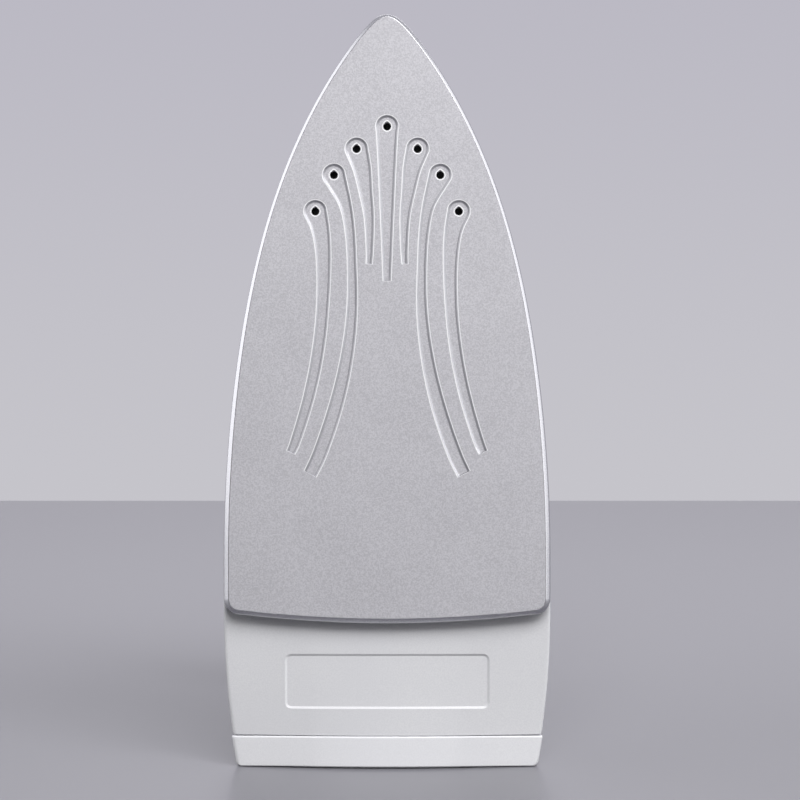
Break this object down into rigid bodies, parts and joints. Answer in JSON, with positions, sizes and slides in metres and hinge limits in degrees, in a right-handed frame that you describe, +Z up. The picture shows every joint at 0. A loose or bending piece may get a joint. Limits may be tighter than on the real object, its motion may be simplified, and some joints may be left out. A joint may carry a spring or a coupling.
{
  "type": "steam generator iron",
  "caption": "Hand iron of a steam generator station, standing on its heel, with a polished-edge soleplate, fan of steam grooves, white body, grey grip, dial and trigger.",
  "frame": {"origin": "middle of the heel's flat base, on the surface that the iron stands on", "axes": "+Z up from the heel to the tip, +Y from the soleplate back towards the handle, +X to the right seen from the sole"},
  "size_m": [0.1194, 0.1508, 0.2743],
  "materials": {
    "sole_aluminium": "bead-blasted face, polished bevelled edge",
    "shield_aluminium": "mill finish sheet",
    "steel": "plain bright steel",
    "brass": "turned",
    "silicone": "matt silicone",
    "gland_rubber": "matt moulded rubber",
    "ceramic": "unglazed",
    "white_plastic": "satin moulded white",
    "cap_plastic": "satin moulded white",
    "grip_plastic": "soft-touch moulded grey",
    "dial_plastic": "fine moulded texture",
    "dark_plastic": "moulded",
    "lead_sleeve": "glass-fibre sleeve",
    "amber_lens": "clear amber"
  },
  "bodies": {
    "iron": {"soleplate": "sole_aluminium", "heating_element": "steel", "element_terminal_left": "steel", "element_terminal_right": "steel", "chamber_seal": "silicone", "chamber_cover": "steel", "chamber_screw_front_left": "steel", "chamber_screw_front_right": "steel", "chamber_screw_rear_left": "steel", "chamber_screw_rear_right": "steel", "steam_inlet_elbow": "brass", "inner_steam_hose": "silicone", "thermostat": "ceramic", "bimetal_blade": "steel", "thermal_fuse": "ceramic", "fuse_clip": "steel", "heat_shield": "shield_aluminium", "pilot_lens": "amber_lens", "pilot_lamp": "amber_lens", "terminal_block": "dark_plastic", "live_lead": "lead_sleeve", "neutral_lead": "lead_sleeve", "earth_lead": "lead_sleeve", "lower_housing": "white_plastic", "handle_body": "white_plastic", "handle_cover": "grip_plastic", "rear_cover": "cap_plastic", "handle_screw_front": "steel", "sole_screw_left": "steel", "sole_screw_right": "steel", "rear_cover_screw_left": "steel", "rear_cover_screw_right": "steel", "hose_gland": "gland_rubber", "gland_clamp": "dark_plastic", "trigger_pin": "steel", "microswitch": "dark_plastic"},
    "dial": {"temperature_dial": "dial_plastic", "adjusting_spindle": "brass"},
    "trigger": {"steam_trigger": "grip_plastic", "trigger_spring": "steel"},
    "plunger": {"switch_plunger": "dark_plastic"}
  },
  "joints": [
    {"name": "dial_turn", "type": "hinge", "parent": "iron", "child": "dial", "pos_m": [0, -0.00285, 0.11351], "axis": [0, 0.9945, -0.1045], "range_deg": [0, 270]},
    {"name": "trigger_pull", "type": "hinge", "parent": "iron", "child": "trigger", "pos_m": [0, 0.06497, 0.14459], "axis": [1, 0, 0], "range_deg": [0, 6], "stiffness_Nm_per_rad": 0.6, "springref_deg": -5.73},
    {"name": "plunger_press", "type": "slide", "parent": "iron", "child": "plunger", "axis": [0, 0.9945, -0.1045], "range_m": [0, 0.00126]}
  ],
  "couplings": [
    {"joint": "plunger_press", "follows": "trigger_pull", "m_per_rad": 0.012}
  ]
}
